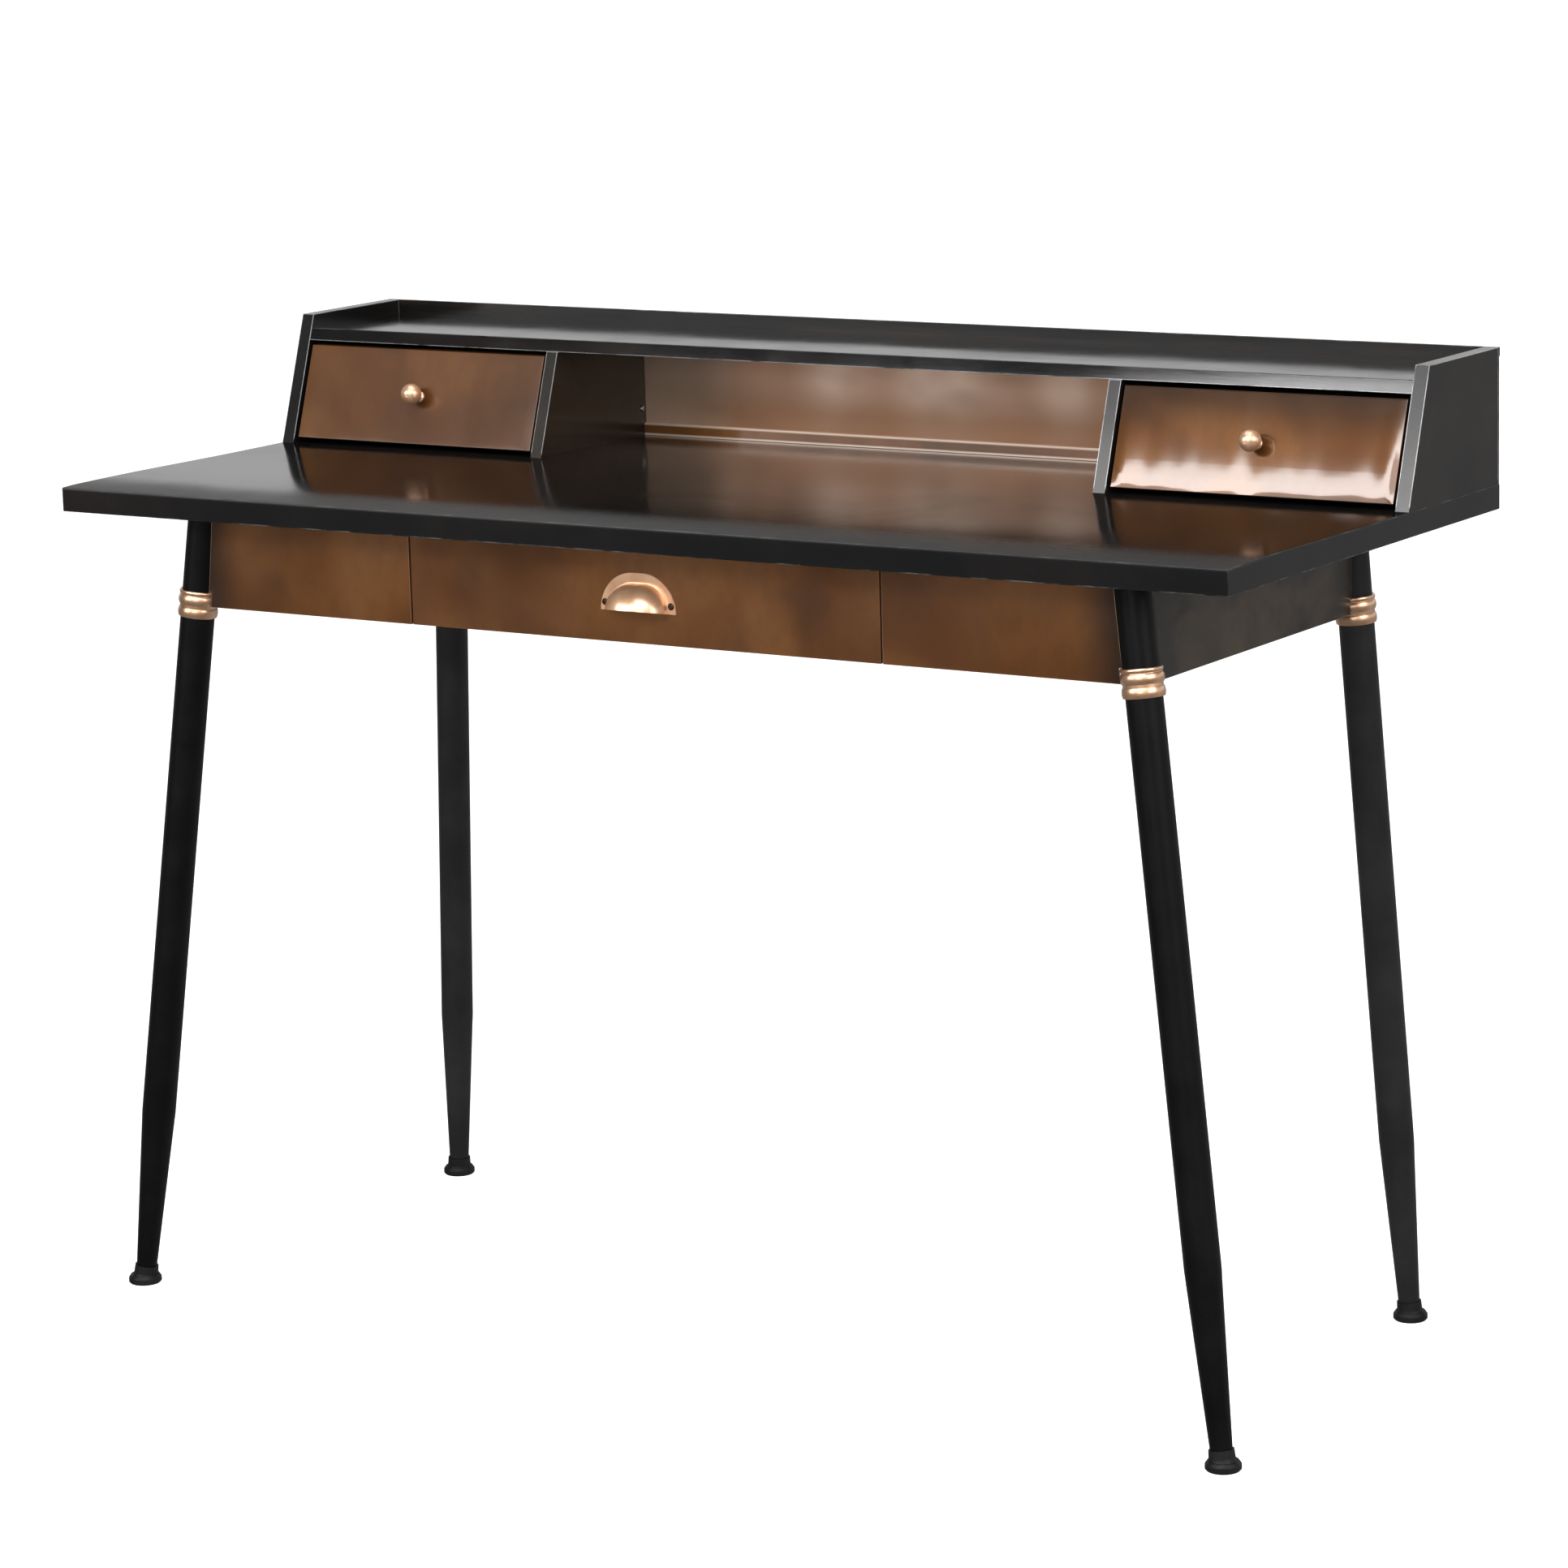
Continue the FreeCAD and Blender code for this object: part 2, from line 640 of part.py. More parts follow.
def capsule(radius):
    """Cylinder along X with round ends, as long as the cup pull's middle."""
    shape = Part.makeCylinder(radius, 2 * PULL_MID, V(-PULL_MID, 0, 0), V(1, 0, 0))
    for x in (-PULL_MID, PULL_MID):
        shape = shape.fuse(Part.makeSphere(radius, V(x, 0, 0)))
    return shape


def cup_pull():
    """Half-round cup, open below its rising lip, with a flat rim that carries two screws."""
    rim = box(-PULL_MID, PULL_MID, -PULL_T, 0, 0, PULL_H)
    for x in (-PULL_MID, PULL_MID):
        rim = rim.fuse(Part.makeCylinder(PULL_H, PULL_T, V(x, -PULL_T, 0), V(0, 1, 0)))
    pull = rim.fuse(capsule(CUP_R)).cut(capsule(CUP_R - PULL_T))
    half = PULL_H + PULL_MID
    pull = pull.common(box(-half, half, -half, 0, 0, half)).removeSplitter()
    below = box(-half, half, -half, -PULL_T, -half, 0)
    below.rotate(V(0, -PULL_T, 0), V(1, 0, 0), -LIP_TILT)
    pull = pull.cut(below)
    pull.translate(V(0, APRON_FRONT_Y, PULL_Z))
    for hole in pull_holes():
        pull = pull.cut(hole)
    return pull


def pull_screws():
    """Two round-headed screws through the rim of the cup pull."""
    screws = []
    for x in (-PULL_SCREW_X, PULL_SCREW_X):
        spot = V(x, APRON_FRONT_Y - PULL_T, PULL_Z + PULL_SCREW_UP)
        screws.append(aimed(screw(PULL_SCREW), spot, V(0, -1, 0)))
    return Part.makeCompound(screws)


# ---- legs -----------------------------------------------------------------------------
def leg_stub(end):
    """Short tube in the apron's left corner, with a threaded plug at its lower end."""
    joint = along_leg(end, JOINT_Z)
    reach = along_leg(end, SLAB_Z) - joint + 20
    tube = Part.makeCylinder(LEG_R, reach, V(0, 0, joint), V(0, 0, 1))
    bore = Part.makeCylinder(LEG_R - PLATE, reach, V(0, 0, joint + PLUG), V(0, 0, 1))
    thread = Part.makeCylinder(STUD_R + CLEAR, PLUG + 1, V(0, 0, joint - 0.5), V(0, 0, 1))
    stub = on_leg(end, tube.cut(bore).cut(thread))
    return stub.common(box(-HALF_W, 0, -HALF_D, HALF_D, 0, SLAB_Z))


def leg_profile(end, wall):
    """Outline of the tapered leg, wall inside its surface, as (radius, height)."""
    joint = along_leg(end, JOINT_Z)
    taper = along_leg(end, TAPER_Z)
    end_r = LEG_END_R - wall
    top_r = LEG_R - wall
    return [(0, LEG_LOW), (end_r, LEG_LOW), (top_r, taper), (top_r, joint), (0, joint)]


def leg(end):
    """Tapered tube leg with a threaded plug at its top."""
    joint = along_leg(end, JOINT_Z)
    tube = turned(leg_profile(end, 0))
    bore = turned(leg_profile(end, PLATE))
    plug = Part.makeCylinder(LEG_R, PLUG, V(0, 0, joint - PLUG), V(0, 0, 1))
    thread = Part.makeCylinder(STUD_R + CLEAR, PLUG + 1, V(0, 0, joint - PLUG - 0.5), V(0, 0, 1))
    return on_leg(end, tube.cut(bore).fuse(plug).cut(thread))


def band(low, high, radius):
    """Rounded band of the collar's outline, from one seam to the next."""
    ends = [V(COLLAR_SEAM_R, 0, h) for h in (low, high)]
    return Part.Arc(ends[0], V(radius, 0, (low + high) / 2), ends[1]).toShape()


def leg_collar(end):
    """Turned collar over the joint: two rounded bands with a waist between, and a rounded lip."""
    joint = along_leg(end, JOINT_Z)
    low = joint - COLLAR_LOW
    high = joint + COLLAR_HIGH
    inner = LEG_R + CLEAR
    waist_low = low + COLLAR_LOW_BAND
    waist_high = waist_low + COLLAR_WAIST
    groove_high = high - COLLAR_LIP
    groove_low = groove_high - COLLAR_GROOVE
    edges = [
        Part.makeLine(V(inner, 0, high), V(inner, 0, low)),
        Part.makeLine(V(inner, 0, low), V(COLLAR_SEAM_R, 0, low)),
        band(low, waist_low, COLLAR_R - 0.3),
        Part.makeLine(V(COLLAR_SEAM_R, 0, waist_low), V(COLLAR_WAIST_R, 0, waist_low)),
        Part.makeLine(V(COLLAR_WAIST_R, 0, waist_low), V(COLLAR_WAIST_R, 0, waist_high)),
        Part.makeLine(V(COLLAR_WAIST_R, 0, waist_high), V(COLLAR_SEAM_R, 0, waist_high)),
        band(waist_high, groove_low, COLLAR_R),
        Part.makeLine(V(COLLAR_SEAM_R, 0, groove_low), V(COLLAR_WAIST_R, 0, groove_low)),
        Part.makeLine(V(COLLAR_WAIST_R, 0, groove_low), V(COLLAR_WAIST_R, 0, groove_high)),
        Part.makeLine(V(COLLAR_WAIST_R, 0, groove_high), V(COLLAR_SEAM_R, 0, groove_high)),
        band(groove_high, high, COLLAR_R - 0.4),
        Part.makeLine(V(COLLAR_SEAM_R, 0, high), V(inner, 0, high)),
    ]
    face = Part.Face(Part.Wire(Part.__sortEdges__(edges)))
    return on_leg(end, face.revolve(V(0, 0, 0), V(0, 0, 1), 360))


def leg_foot(end):
    """Plastic glide: a flat flared sole, and a neck that holds the end of the leg."""
    sole = turned([
        (0, 0),
        (FOOT_R - 1.5, 0),
        (FOOT_R, 1.6),
        (FOOT_R, FOOT_H - 3.0),
        (FOOT_R - 2.1, FOOT_H),
        (0, FOOT_H),
    ])
    sole.translate(leg_axis(end, 0))
    neck_low = FOOT_H - 2.4
    neck = on_leg(end, turned([
        (0, neck_low),
        (FOOT_NECK_R + 1.8, neck_low),
        (FOOT_NECK_R + 0.4, neck_low + 4.0),
        (FOOT_NECK_R, FOOT_NECK_TOP),
        (0, FOOT_NECK_TOP),
    ]))
    spread = (LEG_R - LEG_END_R) / (along_leg(end, TAPER_Z) - LEG_LOW)
    reach = 2 * FOOT_NECK_TOP
    socket = on_leg(end, turned([
        (0, LEG_LOW - CLEAR),
        (LEG_END_R + CLEAR, LEG_LOW - CLEAR),
        (LEG_END_R + CLEAR + spread * reach, LEG_LOW + reach),
        (0, LEG_LOW + reach),
    ]))
    plug_r = LEG_END_R - PLATE - CLEAR
    plug = on_leg(end, Part.makeCylinder(plug_r, FOOT_PLUG, V(0, 0, LEG_LOW - 2), V(0, 0, 1)))
    return sole.fuse(neck).cut(socket).fuse(plug)


def leg_studs():
    """Threaded studs that join the four legs to their stubs."""
    studs = []
    length = 2 * PLUG - 2
    for end in ("front", "rear"):
        low = along_leg(end, JOINT_Z) - length / 2
        stud = on_leg(end, Part.makeCylinder(STUD_R, length, V(0, 0, low), V(0, 0, 1)))
        studs += [stud, mirrored(stud)]
    return Part.makeCompound(studs)


# ---- the desk -------------------------------------------------------------------------
def all_nodes():
    nodes = {
        "desktop_shell": desktop_shell(),
        "desktop_core": desktop_core(),
        "under_screws": under_screws(),
        "hutch_back": hutch_back(),
        "hutch_shelf": hutch_shelf(),
        "compartment_back": compartment_back(),
        "compartment_ledge": rear_ledge(),
        "hutch_back_screws": back_screws(),
        "divider_rivets": divider_rivets(),
        "apron_back": apron_back(),
        "centre_drawer_front": centre_front(),
        "centre_drawer_box": centre_box(),
        "cup_pull": cup_pull(),
        "cup_pull_screws": pull_screws(),
        "leg_studs": leg_studs(),
    }
    pairs = {
        "hutch_side": hutch_side,
        "hutch_divider": hutch_divider,
        "small_drawer_front": small_front,
        "small_drawer_box": small_box,
        "small_drawer_glides": small_glides,
        "small_drawer_knob": knob,
        "small_drawer_knob_screw": knob_screw,
        "apron_front": apron_front,
        "apron_side": apron_side,
        "slide_hanger": slide_hanger,
        "slide_outer": slide_outer,
        "slide_middle": slide_middle,
        "slide_inner": slide_inner,
    }
    for name, make in pairs.items():
        nodes.update(both(name, make()))
    leg_parts = {"leg_stub": leg_stub, "leg": leg, "leg_collar": leg_collar, "leg_foot": leg_foot}
    for name, make in leg_parts.items():
        for end in ("front", "rear"):
            nodes.update(both(name + "_" + end, make(end)))
    return nodes


os.makedirs("parts", exist_ok=True)
for node, shape in all_nodes().items():
    count = len(shape.Solids)
    bad = not shape.isValid() or any(not s.isClosed() for s in shape.Solids)
    print(node, "solids", count, "volume_cm3", round(shape.Volume / 1000, 2), "BAD" if bad else "")
    shape.exportStep("parts/" + node + ".step")
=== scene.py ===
import json
import math

import bmesh
import bpy
from mathutils import Matrix, Vector, noise


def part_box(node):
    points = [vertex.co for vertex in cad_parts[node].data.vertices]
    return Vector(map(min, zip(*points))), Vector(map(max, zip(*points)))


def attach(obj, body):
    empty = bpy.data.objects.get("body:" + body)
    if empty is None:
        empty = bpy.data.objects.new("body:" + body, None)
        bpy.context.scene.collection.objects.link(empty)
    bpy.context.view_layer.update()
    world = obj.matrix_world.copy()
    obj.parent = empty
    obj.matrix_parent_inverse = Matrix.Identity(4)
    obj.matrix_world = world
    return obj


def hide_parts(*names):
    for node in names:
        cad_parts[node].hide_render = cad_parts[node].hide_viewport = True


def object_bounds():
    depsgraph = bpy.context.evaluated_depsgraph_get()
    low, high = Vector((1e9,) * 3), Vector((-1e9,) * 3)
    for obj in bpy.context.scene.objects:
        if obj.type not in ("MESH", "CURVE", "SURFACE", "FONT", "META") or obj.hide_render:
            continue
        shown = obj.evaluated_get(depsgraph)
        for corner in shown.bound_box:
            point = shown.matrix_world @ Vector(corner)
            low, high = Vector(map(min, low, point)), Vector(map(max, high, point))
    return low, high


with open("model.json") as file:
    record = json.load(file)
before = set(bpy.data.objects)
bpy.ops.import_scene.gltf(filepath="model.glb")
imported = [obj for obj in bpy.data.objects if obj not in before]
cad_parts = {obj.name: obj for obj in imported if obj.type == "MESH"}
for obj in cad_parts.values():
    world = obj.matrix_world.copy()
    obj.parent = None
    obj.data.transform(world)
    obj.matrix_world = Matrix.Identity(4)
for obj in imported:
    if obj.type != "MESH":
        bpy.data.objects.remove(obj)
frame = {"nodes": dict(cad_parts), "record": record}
nodes = frame["nodes"]
cad_low, cad_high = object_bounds()
MM = 0.001


# ---- shader helpers ------------------------------------------------------------------
def node(tree, kind, inputs=None, **settings):
    """A shader node with its settings, and its inputs set or linked."""
    made = tree.nodes.new("ShaderNode" + kind)
    for key, value in settings.items():
        setattr(made, key, value)
    for key, value in (inputs or {}).items():
        if isinstance(value, bpy.types.NodeSocket):
            tree.links.new(value, made.inputs[key])
        else:
            made.inputs[key].default_value = value
    return made


def calc(tree, operation, a, b):
    """One sum on two values or sockets."""
    return node(tree, "Math", {0: a, 1: b}, operation=operation).outputs[0]


def place(tree, stretch=(1, 1, 1), shift=(0, 0, 0)):
    """Position on the piece in metres, stretched and shifted."""
    where = node(tree, "TexCoord").outputs["Object"]
    return node(tree, "Mapping", {"Vector": where, "Scale": stretch, "Location": shift}).outputs[0]


def along(tree, axis):
    """Position on the piece along the X, Y or Z axis, in metres."""
    return node(tree, "SeparateXYZ", {"Vector": place(tree)}).outputs[axis]


def cloud(tree, where, per_metre, detail=3.0, rough=0.55, twist=0.0):
    """Soft noise from 0 to 1 with that many features in a metre."""
    values = {"Vector": where, "Scale": per_metre, "Detail": detail, "Roughness": rough,
              "Distortion": twist}
    return node(tree, "TexNoise", values).outputs["Fac"]


def spread(tree, value, low, high, to_low=0.0, to_high=1.0):
    """A value between low and high, remapped smoothly and held at the ends."""
    values = {"Value": value, "From Min": low, "From Max": high, "To Min": to_low,
              "To Max": to_high}
    return node(tree, "MapRange", values, interpolation_type="SMOOTHSTEP").outputs[0]


def mix(tree, share, first, second):
    """Colour between first and second."""
    made = tree.nodes.new("ShaderNodeMix")
    made.data_type = "RGBA"
    for key, value in (("Factor", share), ("A", first), ("B", second)):
        socket = next(held for held in made.inputs
                      if held.name == key and held.type in ("VALUE", "RGBA") and held.enabled)
        if isinstance(value, bpy.types.NodeSocket):
            tree.links.new(value, socket)
        else:
            socket.default_value = value if key == "Factor" else (*value, 1.0)
    return next(held for held in made.outputs if held.type == "RGBA")


def bump(tree, height, depth, below=None):
    """Surface normal from a height field, depth metres deep."""
    values = {"Height": height, "Strength": 1.0, "Distance": depth}
    if below is not None:
        values["Normal"] = below
    return node(tree, "Bump", values).outputs[0]


def edges(tree, radius):
    """1 on folds and corners, 0 on flat sheet."""
    rounded = node(tree, "Bevel", {"Radius": radius}, samples=6).outputs[0]
    flat = node(tree, "NewGeometry").outputs["Normal"]
    same = node(tree, "VectorMath", {0: rounded, 1: flat}, operation="DOT_PRODUCT")
    return spread(tree, same.outputs["Value"], 0.995, 0.85)


def material(name, colour, metal, rough, normal, **fixed):
    """A material on one Principled shader; fixed holds constants for its other sockets."""
    made = bpy.data.materials.new(name)
    made.use_nodes = True
    tree = made.node_tree
    tree.nodes.clear()
    shader = tree.nodes.new("ShaderNodeBsdfPrincipled")
    for key, value in fixed.items():
        socket_name = key.replace("_", " ").title().replace("Ior", "IOR")
        shader.inputs[socket_name].default_value = value
    sockets = {"Base Color": colour, "Metallic": metal, "Roughness": rough, "Normal": normal}
    for key, build in sockets.items():
        value = build(tree) if callable(build) else build
        if isinstance(value, bpy.types.NodeSocket):
            tree.links.new(value, shader.inputs[key])
        elif value is not None:
            shader.inputs[key].default_value = (*value, 1.0) if key == "Base Color" else value
    out = tree.nodes.new("ShaderNodeOutputMaterial")
    tree.links.new(shader.outputs[0], out.inputs["Surface"])
    return made


# ---- finishes ------------------------------------------------------------------------
HAZE_DEPTH = 70 * MM               # the rubbed haze on the top fades in over this distance
SHEEN_X = (450 * MM, -150 * MM)     # its painted sheen grows stronger between these places


def lacquer(name="black_lacquer", worn_and_lit=0.55, cover=0.45, brown=0.25, streaks=0.0, dull=0.0,
            haze_y=None, haze_z=0.0, seam_z=None, streak_reflection=0.0, shine=0.5):
    """Black lacquer over sheet steel: smudged gloss, a thin brown cast, folds painted light.

    worn_and_lit is how light the folds are, partly rubbed-through lacquer and partly painted
    highlight, and cover where they begin; brown is the cast's strength; streaks is unevenness and
    streak_reflection brown streaks along the sheet, a painted reflection; dull adds roughness. In
    front of haze_y the gloss above haze_z is rubbed dull and lightened by a painted sheen; below
    seam_z the folds keep their lacquer."""

    def wear_and_highlight(tree):
        patches = spread(tree, cloud(tree, place(tree), 38, 4), cover, cover + 0.25)
        share = calc(tree, "MULTIPLY", edges(tree, 1.4 * MM), calc(tree, "MULTIPLY", patches, worn_and_lit))
        if seam_z is not None:
            above = spread(tree, along(tree, "Z"), seam_z, seam_z + 4 * MM)
            share = calc(tree, "MULTIPLY", share, above)
        return share

    def haze(tree):
        near = spread(tree, along(tree, "Y"), haze_y, haze_y - HAZE_DEPTH)
        return calc(tree, "MULTIPLY", near, spread(tree, along(tree, "Z"), haze_z - 3 * MM, haze_z))

    def colour(tree):
        cast = cloud(tree, place(tree, shift=(3, 1, 0)), 5, 4, 0.6)
        cast = spread(tree, cast, 0.35, 0.75, 0.0, brown)
        black = mix(tree, cast, (0.0040, 0.0042, 0.0046), (0.024, 0.017, 0.012))
        if streak_reflection:
            # Brown streaks along the sheet: painted reflection.
            lines = cloud(tree, place(tree, (0.25, 1, 4)), 12, 3, 0.55)
            lines = spread(tree, lines, 0.42, 0.75, 0.0, streak_reflection)
            black = mix(tree, lines, black, (0.050, 0.036, 0.026))
        if haze_y is not None:
            # Painted sheen: the top's front strip is lightened to grey in place of its reflection,
            # stronger towards the left.
            painted_sheen = spread(tree, along(tree, "X"), *SHEEN_X, 0.25, 1.0)
            painted_sheen = calc(tree, "MULTIPLY", haze(tree), painted_sheen)
            black = mix(tree, painted_sheen, black, (0.034, 0.034, 0.033))
        # Folds are lightened pale grey: partly rubbed-through lacquer, partly painted highlight.
        return mix(tree, wear_and_highlight(tree), black, (0.60, 0.60, 0.62))

    def metal(tree):
        return calc(tree, "MULTIPLY", wear_and_highlight(tree), 0.4)

    def rough(tree):
        smudge = cloud(tree, place(tree), 7, 4, 0.6, 0.4)
        smudge = spread(tree, smudge, 0.3, 0.75, 0.10 + dull, 0.17 + dull)
        rubbed = cloud(tree, place(tree, (1, 14, 14)), 45, 2)
        rubbed = calc(tree, "MULTIPLY", calc(tree, "SUBTRACT", rubbed, 0.5), 0.04 + streaks * 0.5)
        if haze_y is not None:
            smudge = calc(tree, "ADD", smudge, calc(tree, "MULTIPLY", haze(tree), 0.28))
        return calc(tree, "ADD", smudge, rubbed)

    def normal(tree):
        long = bump(tree, cloud(tree, place(tree), 6, 1), 0.35 * MM)
        if streaks:
            long = bump(tree, cloud(tree, place(tree, (0.35, 6, 6)), 16, 3), streaks * MM, long)
        return bump(tree, cloud(tree, place(tree), 900, 2), 0.006 * MM, long)

    return material(name, colour, metal, rough, normal, specular_ior_level=shine)


def dark_steel():
    """Dark lacquered steel with a mottled brown patina."""

    def colour(tree):
        patches = cloud(tree, place(tree), 9, 6, 0.62, 0.6)
        patches = spread(tree, patches, 0.35, 0.7)
        base = mix(tree, patches, (0.014, 0.013, 0.012), (0.050, 0.036, 0.024))
        folds = calc(tree, "MULTIPLY", edges(tree, 1.1 * MM), 0.4)
        return mix(tree, folds, base, (0.3, 0.28, 0.26))

    def rough(tree):
        return spread(tree, cloud(tree, place(tree), 22, 5, 0.6), 0.3, 0.75, 0.30, 0.46)

    def normal(tree):
        long = bump(tree, cloud(tree, place(tree), 7, 1), 0.3 * MM)
        return bump(tree, cloud(tree, place(tree), 700, 2), 0.006 * MM, long)

    return material("dark_steel", colour, 0.25, rough, normal, specular_ior_level=0.5)


def copper(name, shift=(0, 0, 0), low=0.28, high=0.42, metal=0.3, tint=1.0, coat=0.12,
           worn_and_lit=0.5, soot=0.4, shine=0.4, coat_ior=1.5, fades=()):
    """Copper-brown patina under lacquer: clouds, darker soot, folds painted light.

    shift moves the clouds, low and high bound the roughness, and tint, worn_and_lit and soot are the
    brightness, the lightened folds (rubbed-through lacquer and painted highlight) and the dark
    patches. Each of the fades is an axis, the two places it runs between, how much of it and its
    colour."""

    def shade(red, green, blue):
        return (red * tint, green * tint, blue * tint)

    def colour(tree):
        at = place(tree, shift=shift)
        broad = spread(tree, cloud(tree, at, 5.5, 2, 0.6, 0.5), 0.34, 0.68)
        warm = mix(tree, broad, shade(0.074, 0.0245, 0.0040), shade(0.135, 0.0520, 0.0125))
        grain = cloud(tree, place(tree, (1.3, 1.0, 0.8), shift), 55, 6, 0.7)
        grain = spread(tree, grain, 0.35, 0.75, 0.0, 0.3)
        warm = mix(tree, grain, warm, shade(0.055, 0.0190, 0.0042))
        dark = cloud(tree, place(tree, shift=(7, 2, 5)), 9, 2, 0.5, 0.3)
        dark = spread(tree, dark, 0.54, 0.78, 0.0, soot)
        warm = mix(tree, dark, warm, (0.024, 0.0110, 0.004))
        for axis, first, last, amount, tone in fades:
            faded = spread(tree, along(tree, axis), first, last, 0.0, amount)
            warm = mix(tree, faded, warm, tone)
        # Folds are lightened: partly rubbed-through lacquer, partly painted highlight.
        folds = calc(tree, "MULTIPLY", edges(tree, 0.9 * MM), worn_and_lit)
        return mix(tree, folds, warm, (0.50, 0.36, 0.27))

    def rough(tree):
        patches = cloud(tree, place(tree, shift=shift), 10, 2, 0.5, 0.3)
        return spread(tree, patches, 0.3, 0.72, low, high)

    def normal(tree):
        long = bump(tree, cloud(tree, place(tree, shift=shift), 9, 1), 0.30 * MM)
        return bump(tree, cloud(tree, place(tree), 520, 3), 0.008 * MM, long)

    return material(name, colour, metal, rough, normal, coat_weight=coat, coat_roughness=0.08,
                    coat_ior=coat_ior, specular_ior_level=shine)


PAINTED_LIGHT_X = (-160 * MM, -330 * MM)    # the lining is painted lighter between these places, against the left divider's shadow


def lining():
    """Rubbed copper sheet of the compartment: pale upright bands of painted reflection, darker
    towards its foot, painted lighter at its left end.
    """

    def colour(tree):
        # Pale upright bands: painted reflection.
        bands = cloud(tree, place(tree, (1.0, 1.0, 0.12), (5, 0, 0)), 9, 1, 0.5)
        bands = spread(tree, bands, 0.34, 0.62)
        pale = mix(tree, bands, (0.400, 0.215, 0.130), (0.700, 0.495, 0.380))
        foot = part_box("compartment_ledge")[1].z
        lower = spread(tree, along(tree, "Z"), foot + 14 * MM, foot + 52 * MM, 0.85, 0.0)
        warm = mix(tree, lower, pale, (0.200, 0.084, 0.030))
        # Painted light: the left end is lightened where the left divider shades it.
        warm = mix(tree, spread(tree, along(tree, "X"), *PAINTED_LIGHT_X, 0.0, 0.9), warm, (0.92, 0.64, 0.46))
        smears = cloud(tree, place(tree, (1, 1, 2.0)), 12, 1, 0.5)
        smears = spread(tree, smears, 0.50, 0.80, 0.0, 0.45)
        return mix(tree, smears, warm, (0.190, 0.090, 0.042))

    def rough(tree):
        return spread(tree, cloud(tree, place(tree), 12, 1), 0.3, 0.72, 0.285, 0.38)

    def normal(tree):
        long = bump(tree, cloud(tree, place(tree), 8, 0), 0.20 * MM)
        return bump(tree, cloud(tree, place(tree), 520, 3), 0.008 * MM, long)

    return material("lining", colour, 0.6, rough, normal, coat_weight=0.3, coat_roughness=0.1)


def rose_gold(name="rose_gold", metal=0.72):
    """Satin rose-gold plating under clear lacquer, slightly uneven, with faint turning marks."""

    def colour(tree):
        patches = spread(tree, cloud(tree, place(tree), 70, 3, 0.6), 0.35, 0.7)
        return mix(tree, patches, (0.86, 0.49, 0.28), (0.94, 0.58, 0.36))

    def rough(tree):
        return spread(tree, cloud(tree, place(tree), 80, 3, 0.6), 0.3, 0.75, 0.285, 0.34)

    def normal(tree):
        return bump(tree, cloud(tree, place(tree, (1, 1, 9)), 300, 2), 0.002 * MM)

    return material(name, colour, metal, rough, normal, coat_weight=1.0, coat_roughness=0.10,
                    coat_ior=1.8)


def powder_coat(name, shade, low=0.34, high=0.46):
    """Satin powder coat of that shade: near black with fine orange peel."""

    def colour(tree):
        patches = spread(tree, cloud(tree, place(tree), 14, 4), 0.3, 0.75)
        return mix(tree, patches, (shade,) * 3, (shade * 1.7, shade * 1.7, shade * 1.75))

    def rough(tree):
        return spread(tree, cloud(tree, place(tree), 30, 5), 0.3, 0.75, low, high)

    def normal(tree):
        return bump(tree, cloud(tree, place(tree), 1100, 2), 0.014 * MM)

    return material(name, colour, 0.0, rough, normal, specular_ior_level=0.18)


def plastic(name, dark, light):
    """Moulded plastic: faint flow marks and a fine spark-eroded grain."""

    def colour(tree):
        return mix(tree, spread(tree, cloud(tree, place(tree), 40, 4), 0.3, 0.75), dark, light)

    def rough(tree):
        return spread(tree, cloud(tree, place(tree), 90, 4), 0.3, 0.75, 0.42, 0.58)

    def normal(tree):
        return bump(tree, cloud(tree, place(tree), 1600, 2), 0.02 * MM)

    return material(name, colour, 0.0, rough, normal, specular_ior_level=0.25)


def plated(name="slide_steel", dark=(0.42, 0.43, 0.45), light=(0.66, 0.67, 0.69)):
    """Zinc-plated steel with rolling marks along its length."""

    def colour(tree):
        marks = cloud(tree, place(tree, (9, 1, 9)), 34, 5, 0.65)
        return mix(tree, spread(tree, marks, 0.3, 0.72), dark, light)

    def rough(tree):
        return spread(tree, cloud(tree, place(tree, (16, 1, 16)), 40, 4), 0.3, 0.75, 0.285, 0.44)

    def normal(tree):
        return bump(tree, cloud(tree, place(tree, (20, 1, 20)), 60, 3), 0.01 * MM)

    return material(name, colour, 1.0, rough, normal)


def fibreboard():
    """Board sealed with thin black paint: fibres and chips show through."""

    def colour(tree):
        fibres = cloud(tree, place(tree, (1, 5, 1)), 160, 6, 0.75)
        fibres = spread(tree, fibres, 0.55, 0.78, 0.0, 0.6)
        return mix(tree, fibres, (0.022, 0.020, 0.018), (0.11, 0.085, 0.06))

    def rough(tree):
        return spread(tree, cloud(tree, place(tree), 25, 5), 0.3, 0.75, 0.68, 0.86)

    def normal(tree):
        return bump(tree, cloud(tree, place(tree, (1, 4, 1)), 420, 5, 0.7), 0.09 * MM)

    return material("board", colour, 0.0, rough, normal)


